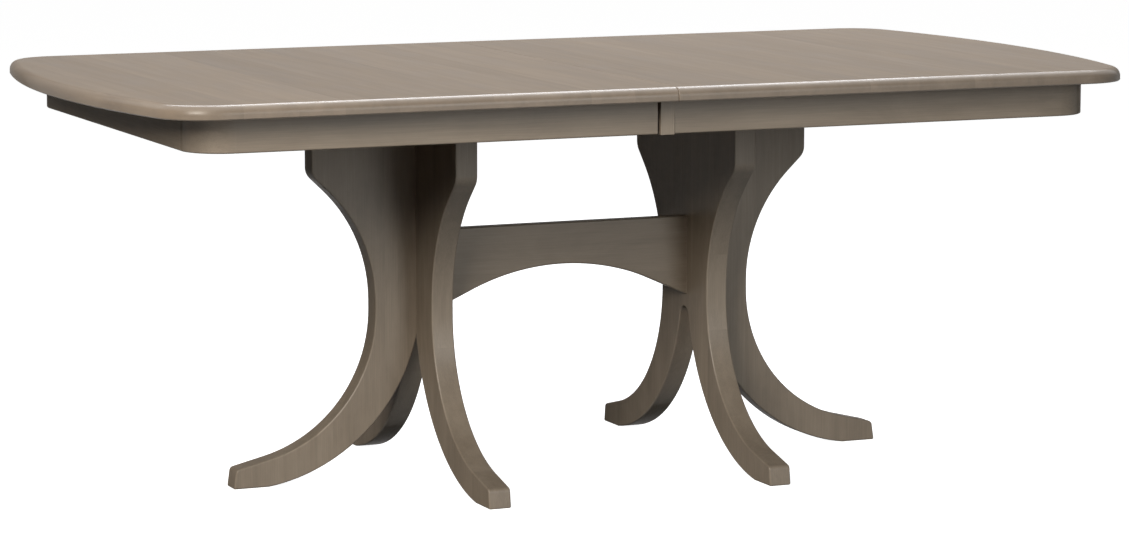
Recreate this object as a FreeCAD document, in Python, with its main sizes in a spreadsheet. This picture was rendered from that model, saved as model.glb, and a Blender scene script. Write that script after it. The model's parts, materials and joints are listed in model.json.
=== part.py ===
import FreeCAD, Part
import math
import os
import Sketcher
from FreeCAD import Placement, Rotation, Vector

# Extending table on two pedestals. The base stands still. The two halves of the top slide apart
# along X by the same amount, because their racks turn one pinion between them.
# X runs along the table, Y away from the near side, Z up. The origin is on the floor, at the middle.

document = FreeCAD.newDocument("ExtendingTable")
sheet = document.addObject("Spreadsheet::Sheet", "Sizes")

# Driving dimensions in millimetres, angles in degrees, and shares of the sizes that they follow
DRIVING = [
    # the top
    ("table_height", 762.0), ("top_length", 1981.2), ("top_width", 1066.8), ("top_thickness", 25.4),
    ("end_bow", 73.6), ("corner_radius", 101.6), ("top_round", 17.0), ("top_ease", 2.0),
    ("seam_gap", 0.8), ("seam_pin_radius", 5.0), ("seam_pin_length", 40.0), ("seam_pin_reach", 14.0),
    ("seam_pin_play", 0.3), ("inner_pin_share", 0.28), ("outer_pin_share", 0.82),
    # the skirt
    ("skirt_height", 63.4), ("skirt_thickness", 19.0), ("side_overhang", 56.7),
    ("end_overhang", 112.6), ("skirt_corner_radius", 74.0), ("skirt_ease", 2.0),
    ("corner_tongue_length", 45.0), ("corner_tongue_thickness", 14.0),
    ("skirt_start_left", 15.9), ("seam_block_reach", 10.4), ("seam_block_length", 27.2),
    ("seam_block_proud", 1.8), ("seam_block_drop", 1.2),
    ("glue_block_length", 70.0), ("glue_block_width", 22.0), ("glue_block_height", 32.0),
    # the pedestals
    ("pedestal_reach", 279.4), ("leg_thickness", 42.8), ("foot_reach", 381.0),
    ("foot_flat", 68.5), ("toe_height", 36.0), ("toe_lean", 5.0), ("toe_round", 9.0),
    ("waist_reach", 101.6), ("leg_top_reach", 224.0), ("knee_round", 28.0),
    ("instep_reach_share", 0.81), ("instep_height_share", 0.0774),
    ("waist_low_share", 0.467), ("waist_high_share", 0.4936),
    ("shoulder_reach_share", 0.7255), ("shoulder_height_share", 0.8008), ("knee_height_share", 0.8484),
    ("arch_half_width", 18.7), ("arch_height_share", 0.3992), ("end_leg_arch_share", 0.3826),
    ("shin_bulge_share", 0.1735), ("thigh_bulge_share", 0.1023), ("under_bulge_share", 0.1571),
    ("end_leg_bulge_share", 0.1525), ("arch_bulge_share", 0.3984),
    ("dowel_radius", 5.0), ("dowel_length", 42.0), ("low_dowel_share", 0.455),
    ("high_dowel_share", 0.93), ("dowels", 4),
    # the stretcher
    ("stretcher_thickness", 26.0), ("stretcher_height", 151.5), ("stretcher_above_arch", 25.3),
    ("spring_reach_share", 0.7364), ("spring_rise_share", 0.2013), ("stretcher_bulge_share", 0.1105),
    ("stretcher_ease", 2.2), ("stud_radius", 4.0), ("stud_bite", 17.0), ("stud_run", 32.0),
    ("low_stud_share", 0.25), ("high_stud_share", 0.72), ("nut_pocket_radius", 16.0),
    ("nut_pocket_inset", 30.0), ("nut_pocket_wall", 5.0), ("half_moon_flat", 10.0),
    ("half_moon_width", 12.0), ("stud_nut_radius", 7.5), ("stud_nut_thickness", 6.5),
    # the boards on the pedestals and what holds them
    ("board_thickness", 22.0), ("board_inner_reach", 90.0), ("board_margin", 10.6),
    ("board_side_margin", 54.0), ("board_round", 30.0), ("bolt_radius", 4.0), ("bolt_length", 70.0),
    ("bolt_head_radius", 8.0), ("bolt_head_height", 4.5), ("inner_bolt_share", 0.3),
    ("outer_bolt_share", 0.78), ("end_bolt_share", 0.45), ("end_outer_bolt_share", 0.85),
    # the slides and rails
    ("rail_height", 38.0), ("rail_width", 30.0), ("rail_gap", 0.3), ("rail_tail", 200.0),
    ("rail_end_gap", 14.0), ("rail_relief", 1.5), ("slide_width", 32.0), ("slide_drop", 2.0),
    ("slide_place_share", 0.568), ("slide_reach", 200.6), ("groove_depth", 9.0),
    ("groove_height", 13.0), ("tongue_length", 8.6), ("tongue_play", 0.3), ("leaf_width", 457.2),
    ("screw_radius", 2.5), ("screw_head_radius", 5.0), ("screw_head_height", 3.0),
    ("screw_bite", 14.0), ("screw_recess", 20.0), ("inner_slide_screw", 54.0),
    ("outer_slide_screw", 145.0), ("first_screw_share", 0.1), ("middle_screw_share", 0.5),
    ("last_screw_share", 0.92),
    # the racks, the pinion and the bridge that carries it
    ("gear_module", 3.0), ("pinion_teeth", 16), ("pressure_angle", 20.0), ("backlash", 0.6),
    ("rack_height", 24.0), ("rack_back", 12.0), ("rack_margin", 37.4), ("rack_foot", 330.0),
    ("pinion_thickness", 14.0), ("pinion_lift", 2.0), ("pinion_play", 0.3), ("hub_bolt_radius", 5.0),
    ("hub_head_radius", 9.0), ("hub_head_height", 3.4), ("hub_nut_radius", 9.5),
    ("hub_nut_thickness", 8.0), ("hub_recess", 9.0), ("hub_recess_radius", 11.5),
    ("spacer_radius", 9.0), ("bridge_width", 70.0), ("bridge_thickness", 19.0), ("bridge_corner", 6.0),
    ("bridge_screw_spread", 20.0),
    # the locks under the seam
    ("lock_skirt_gap", 4.0), ("lock_pivot_reach", 34.0), ("keeper_reach", 20.0),
    ("lock_plate_thickness", 2.5), ("lock_plate_length", 60.0), ("lock_plate_width", 34.0),
    ("keeper_plate_length", 30.0), ("lever_thickness", 3.0), ("lever_half_width", 12.0),
    ("grip_reach", 32.0), ("grip_half_width", 8.0), ("lever_play", 0.3), ("hook_wall", 4.5),
    ("hook_play", 1.5), ("hook_lead_angle", 20.0), ("hook_heel_angle", 16.0), ("slot_angle", 35.0),
    ("lock_pin_radius", 4.0), ("lock_head_radius", 7.5), ("lock_head_height", 2.0),
    # the clearance round a fixed pin or screw, and how far a cut runs past the face that it opens
    ("fit_clearance", 0.05), ("overrun", 1.0),
]


class Size:
    """A length that carries both its number and the sheet formula that it comes from."""

    def __init__(self, number, text):
        self.number = float(number)
        self.text = text

    def joined(self, sign, other, number):
        return Size(number, "(%s %s %s)" % (words_of(self), sign, words_of(other)))

    def __add__(self, other):
        return self.joined("+", other, self.number + number_of(other))

    def __sub__(self, other):
        return self.joined("-", other, self.number - number_of(other))

    def __mul__(self, other):
        return self.joined("*", other, self.number * number_of(other))

    def __truediv__(self, other):
        return self.joined("/", other, self.number / number_of(other))

    def __radd__(self, other):
        return self + other

    def __rmul__(self, other):
        return self * other

    def __rsub__(self, other):
        return -self + other

    def __neg__(self):
        return Size(-self.number, "(0 - %s)" % self.text)


def number_of(value):
    return value.number if isinstance(value, Size) else float(value)


def words_of(value):
    if isinstance(value, Size):
        return value.text
    return repr(float(value)) if value >= 0 else "(0 - %r)" % -float(value)


def root_of(value):
    return Size(math.sqrt(value.number), "sqrt(%s)" % value.text)


class Alias:
    """Each alias of the sheet as a size."""


size = Alias()
for row, (alias, number) in enumerate(DRIVING, start=1):
    sheet.set("A%d" % row, alias)
    sheet.set("B%d" % row, str(number))
    sheet.setAlias("B%d" % row, alias)
    setattr(size, alias, Size(number, "Sizes." + alias))
document.recompute()

# Heights, from the top down
underside = size.table_height - size.top_thickness
skirt_bottom = underside - size.skirt_height
rail_bottom = underside - size.rail_height
slide_top = underside - size.slide_drop
board_top = rail_bottom - size.slide_drop
leg_height = board_top - size.board_thickness
groove_middle = (board_top + slide_top) / 2
rack_bottom = underside - size.rack_height
pinion_bottom = rack_bottom + size.pinion_lift
pinion_top = pinion_bottom + size.pinion_thickness
bridge_bottom = board_top - size.bridge_thickness
arch_top = leg_height * size.arch_height_share + size.arch_half_width * size.arch_bulge_share * 2
stretcher_bottom = arch_top + size.stretcher_above_arch
pin_height = underside + size.top_thickness / 2
lever_top = underside - size.lock_plate_thickness - size.lever_play
lever_bottom = lever_top - size.lever_thickness

# Places along and across the table, measured from its middle
seam = size.seam_gap / 2
half_length = size.top_length / 2
half_width = size.top_width / 2
skirt_end = half_length - size.end_overhang
skirt_side = half_width - size.side_overhang
skirt_inner_end = skirt_end - size.skirt_thickness
skirt_inner_side = skirt_side - size.skirt_thickness
corner_x = skirt_end - size.skirt_corner_radius
corner_y = skirt_side - size.skirt_corner_radius
slide_place = skirt_inner_side * size.slide_place_share
slide_half_length = size.pedestal_reach + size.slide_reach
rail_face = size.slide_width / 2 + size.rail_gap
rail_middle = rail_face + size.rail_width / 2
rail_end = skirt_inner_end - size.rail_end_gap
half_leg = size.leg_thickness / 2
stretcher_end = size.pedestal_reach - half_leg
lock_throw = size.lock_pivot_reach + size.keeper_reach
slot_half = size.lock_pin_radius + size.hook_play
hook_tip = lock_throw + slot_half + size.hook_wall
lock_place = skirt_inner_side - hook_tip - size.lock_skirt_gap

# The gear train
teeth = int(size.pinion_teeth.number)
travel = size.leaf_width / 2
pitch_radius = size.gear_module * size.pinion_teeth / 2
tooth_pitch = size.gear_module * math.pi
rack_root = pitch_radius + size.gear_module * 1.25
rack_reach = travel + size.rack_margin
rack_screw_row = rack_root + size.rack_back / 2

# How near two numbers are that count as the same
TOUCH = 0.001
FULL_TURN = 360
# The many small bars in the wood, which are dowels, pins, studs, bolts and screws, and their holes are
# drawn six-sided, like a nut.
SIDES = 6

nodes = []


def new_body(label):
    """An empty piece. Its label names its file."""
    body = document.addObject("PartDesign::Body", label)
    nodes.append(body)
    return body


def new_sketch(body, role, offset=0):
    """A sketch on one of the piece's own origin planes, moved along the plane's normal."""
    sketch = body.newObject("Sketcher::SketchObject", body.Label + "_sketch")
    plane = [item for item in body.Origin.OriginFeatures if item.Role == role][0]
    sketch.AttachmentSupport = [(plane, "")]
    sketch.MapMode = "FlatFace"
    sketch.AttachmentOffset = Placement(Vector(0, 0, number_of(offset)), Rotation())
    if isinstance(offset, Size):
        sketch.setExpression("AttachmentOffset.Base.z", offset.text)
    return sketch


def tie(sketch, rules):
    """Adds constraints in one go. A rule is its kind, what it ties, and the size that it follows, or
    None."""
    constraints = []
    for kind, tied, value in rules:
        values = () if value is None else (number_of(value),)
        constraints.append(Sketcher.Constraint(kind, *tied, *values))
    for index, (kind, tied, value) in zip(sketch.addConstraint(constraints), rules):
        if value is not None:
            sketch.setExpression("Constraints[%d]" % index, words_of(value))


def point_rules(element, point, x, y):
    """The rules that tie one point of a sketch to its named distances from the origin."""
    rules = []
    for kind, axis, value in (("DistanceX", -2, x), ("DistanceY", -1, y)):
        if number_of(value) == 0:
            rules.append(("PointOnObject", (element, point, axis), None))
        else:
            rules.append((kind, (element, point), value))
    return rules


def draw_outline(sketch, corners):
    """A closed outline, counter-clockwise. Each corner is (x, y, bulge): the run to the next corner is
    straight where bulge is 0, and otherwise an arc that rises by that share of its chord. Above 0
    the arc's centre is on the left of the run, and below 0 on its right."""
    first = sketch.GeometryCount
    curves = []
    runs = []
    for index, (x, y, bulge) in enumerate(corners):
        next_x, next_y = corners[(index + 1) % len(corners)][:2]
        start = Vector(number_of(x), number_of(y), 0)
        end = Vector(number_of(next_x), number_of(next_y), 0)
        if number_of(bulge) == 0:
            curves.append(Part.LineSegment(start, end))
            runs.append((1, 2, None))
            continue
        on_left = number_of(bulge) > 0
        share = bulge if on_left else -bulge
        across = next_x - x
        along = next_y - y
        chord = root_of(across * across + along * along)
        radius = chord * (share * share + 0.25) / (share * 2)
        left = Vector(start.y - end.y, end.x - start.x, 0).normalize()
        to_centre = radius.number - number_of(share) * chord.number
        centre = (start + end) / 2 + left * (to_centre if on_left else -to_centre)
        ends = (start, end) if on_left else (end, start)
        angles = [math.atan2(point.y - centre.y, point.x - centre.x) for point in ends]
        circle = Part.Circle(centre, Vector(0, 0, 1), radius.number)
        curves.append(Part.ArcOfCircle(circle, angles[0], angles[1]))
        runs.append((1, 2, radius) if on_left else (2, 1, radius))
    sketch.addGeometry(curves, False)
    rules = []
    for index, (start_point, end_point, radius) in enumerate(runs):
        following = (index + 1) % len(runs)
        rules.append(("Coincident", (first + index, end_point, first + following, runs[following][0]),
                      None))
    for index, (start_point, end_point, radius) in enumerate(runs):
        rules += point_rules(first + index, start_point, corners[index][0], corners[index][1])
        if radius is not None:
            rules.append(("Radius", (first + index,), radius))
    tie(sketch, rules)


def draw_circles(sketch, centres, radius):
    """Equal circles."""
    for x, y in centres:
        centre = Vector(number_of(x), number_of(y), 0)
        element = sketch.addGeometry(Part.Circle(centre, Vector(0, 0, 1), number_of(radius)), False)
        tie(sketch, point_rules(element, 3, x, y) + [("Radius", (element,), radius)])


def rectangle(x_low, y_low, x_high, y_high):
    return [(x_low, y_low, 0), (x_high, y_low, 0), (x_high, y_high, 0), (x_low, y_high, 0)]


def flipped(corners, axis=0, about=0):
    """The same outline mirrored, and walked the other way so that it stays counter-clockwise."""
    result = []
    for index in range(len(corners) - 1, -1, -1):
        place_of_corner = list(corners[index][:2])
        place_of_corner[axis] = about * 2 - place_of_corner[axis]
        result.append((place_of_corner[0], place_of_corner[1], corners[index - 1][2]))
    return result


def polar(radius, degrees):
    """The point at that radius and angle."""
    angle = math.radians(number_of(degrees))
    return radius * round(math.cos(angle), 12), radius * round(math.sin(angle), 12)


def arc_share(degrees):
    """How far an arc of that many degrees rises, as a share of its chord."""
    return math.tan(math.radians(number_of(degrees)) / 4) / 2


def pad(body, sketch, length, both_ways=False):
    """Raises a sketch along its normal, or half each way."""
    feature = body.newObject("PartDesign::Pad", body.Label + "_pad")
    feature.Profile = sketch
    feature.SideType = "Symmetric" if both_ways else "One side"
    feature.Length = number_of(length)
    feature.setExpression("Length", words_of(length))
    document.recompute()
    return feature


def pocket(body, sketch, depth):
    """Cuts a sketch along its normal, and makes sure that something was cut."""
    before = body.Shape.Volume
    feature = body.newObject("PartDesign::Pocket", body.Label + "_pocket")
    feature.Profile = sketch
    feature.Reversed = True
    feature.Length = number_of(depth)
    feature.setExpression("Length", words_of(depth))
    document.recompute()
    if body.Shape.Volume >= before:
        raise RuntimeError(body.Label + ": a pocket removes nothing")
    return feature


def soften(body, kind, amount, wanted):
    """A fillet or a chamfer on every edge that wanted() picks by its bounding box."""
    names = []
    for index, edge in enumerate(body.Shape.Edges, start=1):
        if wanted(edge.BoundBox):
            names.append("Edge%d" % index)
    carrier = body.Tip
    feature = body.newObject("PartDesign::" + kind, body.Label + "_" + kind.lower())
    feature.Base = (carrier, names)
    measure = "Radius" if kind == "Fillet" else "Size"
    setattr(feature, measure, number_of(amount))
    feature.setExpression(measure, words_of(amount))
    body.Tip = feature
    document.recompute()
    return feature


def repeat(body, kind, feature, along, count, extent_name, extent):
    """A row or a ring of copies of one cut."""
    pattern = body.newObject("PartDesign::" + kind, body.Label + "_" + kind.lower())
    pattern.Originals = [feature]
    setattr(pattern, "Direction" if kind == "LinearPattern" else "Axis", (feature.Profile[0], [along]))
    setattr(pattern, extent_name, number_of(extent))
    pattern.setExpression(extent_name, words_of(extent))
    pattern.Occurrences = count
    body.Tip = pattern
    document.recompute()
    return pattern


def put(piece, x=0, y=0, z=0, turn=0):
    """Puts a piece in the table, turned about the vertical."""
    rotation = Rotation(Vector(0, 0, 1), turn)
    piece.Placement = Placement(Vector(number_of(x), number_of(y), number_of(z)), rotation)
    for axis, value in zip("xyz", (x, y, z)):
        if isinstance(value, Size):
            piece.setExpression("Placement.Base." + axis, value.text)


def draw_hexagons(sketch, centres, radius):
    """Equal six-sided outlines. The radius is that of the circle through the corners."""
    corners = [polar(radius, FULL_TURN / SIDES * index) for index in range(SIDES)]
    for x, y in centres:
        draw_outline(sketch, [(x + across, y + up, 0) for across, up in corners])


def bars(body, centres, radius, bottom, height, draw=draw_hexagons):
    """Equal upright bars or heads."""
    sketch = new_sketch(body, "XY_Plane", bottom)
    draw(sketch, centres, radius)
    pad(body, sketch, height)


def bars_along(body, centres, radius, start, length):
    """Equal bars along X; each centre is (y, z)."""
    sketch = new_sketch(body, "YZ_Plane", start)
    draw_hexagons(sketch, centres, radius)
    pad(body, sketch, length)


def drill(body, centres, radius, bottom, depth, draw=draw_hexagons):
    """Equal upright holes, from a level upwards."""
    sketch = new_sketch(body, "XY_Plane", bottom)
    draw(sketch, centres, radius)
    pocket(body, sketch, depth)


def drill_along(body, centres, radius, start, depth):
    """Equal holes along X; each centre is (y, z)."""
    sketch = new_sketch(body, "YZ_Plane", start)
    draw_hexagons(sketch, centres, radius)
    pocket(body, sketch, depth)


def both_sides(x, y):
    """A place and its mirror image across the table."""
    return [(x, y), (x, -y)]


def is_level(box, height):
    return abs(box.ZMin - height.number) < TOUCH and abs(box.ZMax - height.number) < TOUCH


def is_upright(box):
    return box.ZLength > TOUCH and box.XLength < TOUCH and box.YLength < TOUCH


# Legs. A pedestal is one cross piece, which is its near and far legs with the arch between them, and
# one end leg that stands against the cross piece. All three share one profile.

def leg_side():
    """The outer side of a leg from the floor up: foot, instep, waist, shoulder and knee."""
    shoulder_reach = size.waist_reach + (
        size.leg_top_reach - size.waist_reach) * size.shoulder_reach_share
    return [
        (size.foot_reach, 0, 0),
        (size.foot_reach - size.toe_lean, size.toe_height, 0),
        (size.foot_reach * size.instep_reach_share, leg_height * size.instep_height_share,
         -size.shin_bulge_share),
        (size.waist_reach, leg_height * size.waist_low_share, 0),
        (size.waist_reach, leg_height * size.waist_high_share, -size.thigh_bulge_share),
        (shoulder_reach, leg_height * size.shoulder_height_share, 0),
        (size.leg_top_reach, leg_height * size.knee_height_share, 0),
        (size.leg_top_reach, leg_height, 0),
    ]


def round_toe_and_knee(body, reach_of, thickness_of):
    """Rounds the toes and knees, whose edges run across the thickness of the leg."""
    spots = [(size.toe_round, size.foot_reach - size.toe_lean, size.toe_height),
             (size.knee_round, size.leg_top_reach, leg_height * size.knee_height_share)]
    for radius, reach, height in spots:
        soften(body, "Fillet", radius, lambda box: (
            thickness_of(box) > TOUCH and is_level(box, height)
            and abs(abs(reach_of(box)) - reach.number) < TOUCH))


def bolt_places():
    """Where the coach bolts stand, from a pedestal's middle: four on the cross legs, two on the end
    leg."""
    cross = both_sides(0, size.leg_top_reach * size.inner_bolt_share)
    cross += both_sides(0, size.leg_top_reach * size.outer_bolt_share)
    end = [(size.leg_top_reach * share, 0) for share in (size.end_bolt_share, size.end_outer_bolt_share)]
    return cross, end


def dowel_heights():
    low = leg_height * size.low_dowel_share
    high = leg_height * size.high_dowel_share
    count = int(size.dowels.number)
    return [low + (high - low) * (index / (count - 1)) for index in range(count)]


def stud_heights():
    return [stretcher_bottom + size.stretcher_height * share
            for share in (size.low_stud_share, size.high_stud_share)]


dowel_hole = size.dowel_radius + size.fit_clearance
dowel_hole_depth = size.dowel_length / 2 + size.fit_clearance
stud_hole = size.stud_radius + size.fit_clearance
bolt_hole = size.bolt_radius + size.fit_clearance
screw_hole = size.screw_radius + size.fit_clearance
bolt_bite = size.bolt_length - size.board_thickness
cross_bolts, end_bolts = bolt_places()


def cross_legs(label, side, turn):
    """The near and far legs of one pedestal, glued up as one piece with the arch between them."""
    body = new_body(label)
    sketch = new_sketch(body, "YZ_Plane")
    outer = leg_side()
    inner_foot = size.foot_reach - size.foot_flat
    arch_spring = leg_height * size.arch_height_share
    under = [(-inner_foot, 0, size.under_bulge_share),
             (-size.arch_half_width, arch_spring, -size.arch_bulge_share),
             (size.arch_half_width, arch_spring, size.under_bulge_share),
             (inner_foot, 0, 0)]
    draw_outline(sketch, outer + flipped(outer) + under)
    pad(body, sketch, size.leg_thickness, both_ways=True)
    round_toe_and_knee(body, lambda box: box.Center.y, lambda box: box.XLength)
    drill_along(body, [(0, height) for height in dowel_heights()], dowel_hole,
                half_leg - dowel_hole_depth, dowel_hole_depth + size.overrun)
    drill_along(body, [(0, height) for height in stud_heights()], stud_hole,
                -half_leg - size.overrun, size.stud_bite + size.fit_clearance + size.overrun)
    drill(body, cross_bolts, bolt_hole, leg_height - bolt_bite - size.fit_clearance,
          bolt_bite + size.fit_clearance + size.overrun)
    put(body, x=size.pedestal_reach * side, turn=turn)


def end_leg(label, side, turn):
    """The leg that points along the table, doweled to the cross legs' outer face."""
    body = new_body(label)
    sketch = new_sketch(body, "XZ_Plane")
    under = [(half_leg, leg_height, 0),
             (half_leg, leg_height * size.end_leg_arch_share, size.end_leg_bulge_share),
             (size.foot_reach - size.foot_flat, 0, 0)]
    draw_outline(sketch, leg_side() + under)
    pad(body, sketch, size.leg_thickness, both_ways=True)
    round_toe_and_knee(body, lambda box: box.Center.x, lambda box: box.YLength)
    drill_along(body, [(0, height) for height in dowel_heights()], dowel_hole,
                half_leg - size.overrun, dowel_hole_depth + size.overrun)
    drill(body, end_bolts, bolt_hole, leg_height - bolt_bite - size.fit_clearance,
          bolt_bite + size.fit_clearance + size.overrun)
    put(body, x=size.pedestal_reach * side, turn=turn)


PEDESTALS = (("left", -1, 180), ("right", 1, 0))
for name, side, turn in PEDESTALS:
    cross_legs(name + "_cross_legs", side, turn)
    end_leg(name + "_end_leg", side, turn)

# Dowels between the cross legs and the end legs
leg_dowels = new_body("leg_dowels")
for side in (-1, 1):
    joint_face = (size.pedestal_reach + half_leg) * side
    bars_along(leg_dowels, [(0, height) for height in dowel_heights()], size.dowel_radius,
               joint_face - size.dowel_length / 2, size.dowel_length)

# Stretcher, with an arched underside. Two studs at each end go into the cross legs, and each is
# pulled tight by a half-moon nut in a round pocket on the far face.
stretcher = new_body("stretcher")
stretcher_top = stretcher_bottom + size.stretcher_height
spring_reach = stretcher_end * size.spring_reach_share
spring_height = stretcher_bottom + size.stretcher_height * size.spring_rise_share
stretcher_sketch = new_sketch(stretcher, "XZ_Plane")
draw_outline(stretcher_sketch, [
    (stretcher_end, stretcher_bottom, 0), (stretcher_end, stretcher_top, 0),
    (-stretcher_end, stretcher_top, 0), (-stretcher_end, stretcher_bottom, 0),
    (-spring_reach, spring_height, -size.stretcher_bulge_share), (spring_reach, spring_height, 0)])
pad(stretcher, stretcher_sketch, size.stretcher_thickness, both_ways=True)
soften(stretcher, "Chamfer", size.stretcher_ease, lambda box: box.YLength < TOUCH < box.XLength)
pocket_x = stretcher_end - size.nut_pocket_inset
pocket_places = [(pocket_x * side, height) for side in (-1, 1) for height in stud_heights()]
far_face = size.stretcher_thickness / 2
pocket_floor = size.nut_pocket_wall - far_face
pocket_sketch = new_sketch(stretcher, "XZ_Plane", -far_face - size.overrun)
draw_circles(pocket_sketch, pocket_places, size.nut_pocket_radius)
pocket(stretcher, pocket_sketch, far_face + size.overrun - pocket_floor)
stud_ends = stretcher_end - size.stud_run
for start in (-stretcher_end - size.overrun, stud_ends):
    drill_along(stretcher, [(0, height) for height in stud_heights()], stud_hole, start,
                size.stud_run + size.overrun)

stretcher_studs = new_body("stretcher_studs")
stud_length = size.stud_bite + size.stud_run
for start in (-stretcher_end - size.stud_bite, stud_ends):
    bars_along(stretcher_studs, [(0, height) for height in stud_heights()], size.stud_radius, start,
               stud_length)

# A half-moon bears on the pocket's wall, and the nut bears on its flat.
stretcher_nuts = new_body("stretcher_nuts")
moon_radius = size.nut_pocket_radius - size.fit_clearance
moon_half_chord = root_of(moon_radius * moon_radius - size.half_moon_flat * size.half_moon_flat)
moon_share = (moon_radius - size.half_moon_flat) / (moon_half_chord * 2)
moon_sketch = new_sketch(stretcher_nuts, "XZ_Plane")
for height in stud_heights():
    moon = [(pocket_x + size.half_moon_flat, height - moon_half_chord, moon_share),
            (pocket_x + size.half_moon_flat, height + moon_half_chord, 0)]
    draw_outline(moon_sketch, moon)
    draw_outline(moon_sketch, flipped(moon))
pad(stretcher_nuts, moon_sketch, size.half_moon_width, both_ways=True)
nut_start = pocket_x + size.half_moon_flat - size.stud_nut_thickness
for start in (nut_start, -pocket_x - size.half_moon_flat):
    bars_along(stretcher_nuts, [(0, height) for height in stud_heights()], size.stud_nut_radius, start,
               size.stud_nut_thickness)
for start in (-stretcher_end, stud_ends):
    drill_along(stretcher_nuts, [(0, height) for height in stud_heights()], stud_hole, start,
                size.stud_run)

# Mounting boards, one on each pedestal, and the coach bolts that hold them to the leg tops
board_half_width = slide_place + size.slide_width / 2 + size.board_side_margin
slide_screw_places = [size.pedestal_reach - size.inner_slide_screw,
                      size.pedestal_reach + size.outer_slide_screw]
for name, side, turn in PEDESTALS:
    board = new_body(name + "_pedestal_board")
    board_sketch = new_sketch(board, "XY_Plane", leg_height)
    draw_outline(board_sketch, rectangle(
        -size.board_inner_reach, -board_half_width,
        size.leg_top_reach + size.board_margin, board_half_width))
    pad(board, board_sketch, size.board_thickness)
    soften(board, "Fillet", size.board_round, is_upright)
    drill(board, cross_bolts + end_bolts, bolt_hole, leg_height - size.overrun,
          size.board_thickness + size.overrun * 2)
    pilots = []
    for screw_x in slide_screw_places:
        pilots += both_sides(screw_x - size.pedestal_reach, slide_place)
    drill(board, pilots, screw_hole, board_top - size.screw_bite, size.screw_bite + size.overrun)
    put(board, x=size.pedestal_reach * side, turn=turn)

leg_bolts = new_body("leg_bolts")
bolts = [((size.pedestal_reach + x) * side, y) for side in (-1, 1) for x, y in cross_bolts + end_bolts]
bars(leg_bolts, bolts, size.bolt_radius, leg_height - bolt_bite, size.bolt_length)
bars(leg_bolts, bolts, size.bolt_head_radius, board_top, size.bolt_head_height)

# Fixed slides, screwed to both boards, with a groove along each side for the rails' tongues
slide_half_width = size.slide_width / 2
groove_floor = slide_half_width - size.groove_depth
groove_low = groove_middle - size.groove_height / 2
groove_high = groove_middle + size.groove_height / 2
slide_screws_x = [x * side for side in (-1, 1) for x in slide_screw_places]
bridge_screws_x = [-size.bridge_screw_spread, size.bridge_screw_spread]
slide_right_side = [(slide_half_width, board_top, 0), (slide_half_width, groove_low, 0),
                    (groove_floor, groove_low, 0), (groove_floor, groove_high, 0),
                    (slide_half_width, groove_high, 0), (slide_half_width, slide_top, 0)]
for name, side in (("near", -1), ("far", 1)):
    slide = new_body(name + "_fixed_slide")
    slide_sketch = new_sketch(slide, "YZ_Plane")
    draw_outline(slide_sketch, slide_right_side + flipped(slide_right_side))
    pad(slide, slide_sketch, slide_half_length * 2, both_ways=True)
    drill(slide, [(x, 0) for x in slide_screws_x], screw_hole, board_top - size.overrun,
          slide_top - board_top + size.overrun * 2)
    drill(slide, [(x, 0) for x in slide_screws_x], size.screw_head_radius + size.fit_clearance,
          slide_top - size.screw_recess, size.screw_recess + size.overrun)
    drill(slide, [(x, 0) for x in bridge_screws_x], screw_hole, board_top - size.overrun,
          size.screw_bite + size.overrun)
    put(slide, y=slide_place * side)

slide_screws = new_body("slide_screws")
slide_spots = [(x, slide_place * side) for x in slide_screws_x for side in (-1, 1)]
slide_screw_top = slide_top - size.screw_recess
bars(slide_screws, slide_spots, size.screw_radius, board_top - size.screw_bite,
     slide_screw_top - board_top + size.screw_bite)
bars(slide_screws, slide_spots, size.screw_head_radius, slide_screw_top, size.screw_head_height)

# The bridge between the slides carries the pinion on a bolt.
bridge = new_body("gear_bridge")
half_bridge = size.bridge_width / 2
bridge_end = slide_place + slide_half_width
bridge_sketch = new_sketch(bridge, "XY_Plane", bridge_bottom)
draw_outline(bridge_sketch, rectangle(-half_bridge, -bridge_end, half_bridge, bridge_end))
pad(bridge, bridge_sketch, size.bridge_thickness)
soften(bridge, "Chamfer", size.bridge_corner, is_upright)
hub_hole = size.hub_bolt_radius + size.fit_clearance
bridge_spots = [(x, slide_place * side) for x in bridge_screws_x for side in (-1, 1)]
through = size.bridge_thickness + size.overrun * 2
drill(bridge, [(0, 0)], hub_hole, bridge_bottom - size.overrun, through, draw_circles)
drill(bridge, [(0, 0)], size.hub_recess_radius, bridge_bottom - size.overrun,
      size.hub_recess + size.overrun, draw_circles)
drill(bridge, bridge_spots, screw_hole, bridge_bottom - size.overrun, through)

bridge_screws = new_body("bridge_screws")
bars(bridge_screws, bridge_spots, size.screw_radius, bridge_bottom,
     size.bridge_thickness + size.screw_bite)
bars(bridge_screws, bridge_spots, size.screw_head_radius, bridge_bottom - size.screw_head_height,
     size.screw_head_height)

pinion_axle = new_body("pinion_axle")
axle_top = pinion_top + size.pinion_play
bars(pinion_axle, [(0, 0)], size.hub_bolt_radius, bridge_bottom, axle_top - bridge_bottom,
     draw_circles)
bars(pinion_axle, [(0, 0)], size.hub_head_radius, axle_top, size.hub_head_height)

axle_nut = new_body("axle_nut")
nut_sketch = new_sketch(axle_nut, "XY_Plane", bridge_bottom + size.hub_recess - size.hub_nut_thickness)
draw_hexagons(nut_sketch, [(0, 0)], size.hub_nut_radius)
draw_circles(nut_sketch, [(0, 0)], hub_hole)
pad(axle_nut, nut_sketch, size.hub_nut_thickness)

spacer = new_body("pinion_spacer")
spacer_sketch = new_sketch(spacer, "XY_Plane", board_top)
draw_circles(spacer_sketch, [(0, 0)], size.spacer_radius)
draw_circles(spacer_sketch, [(0, 0)], hub_hole)
pad(spacer, spacer_sketch, pinion_bottom - size.pinion_play - board_top)

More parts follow.
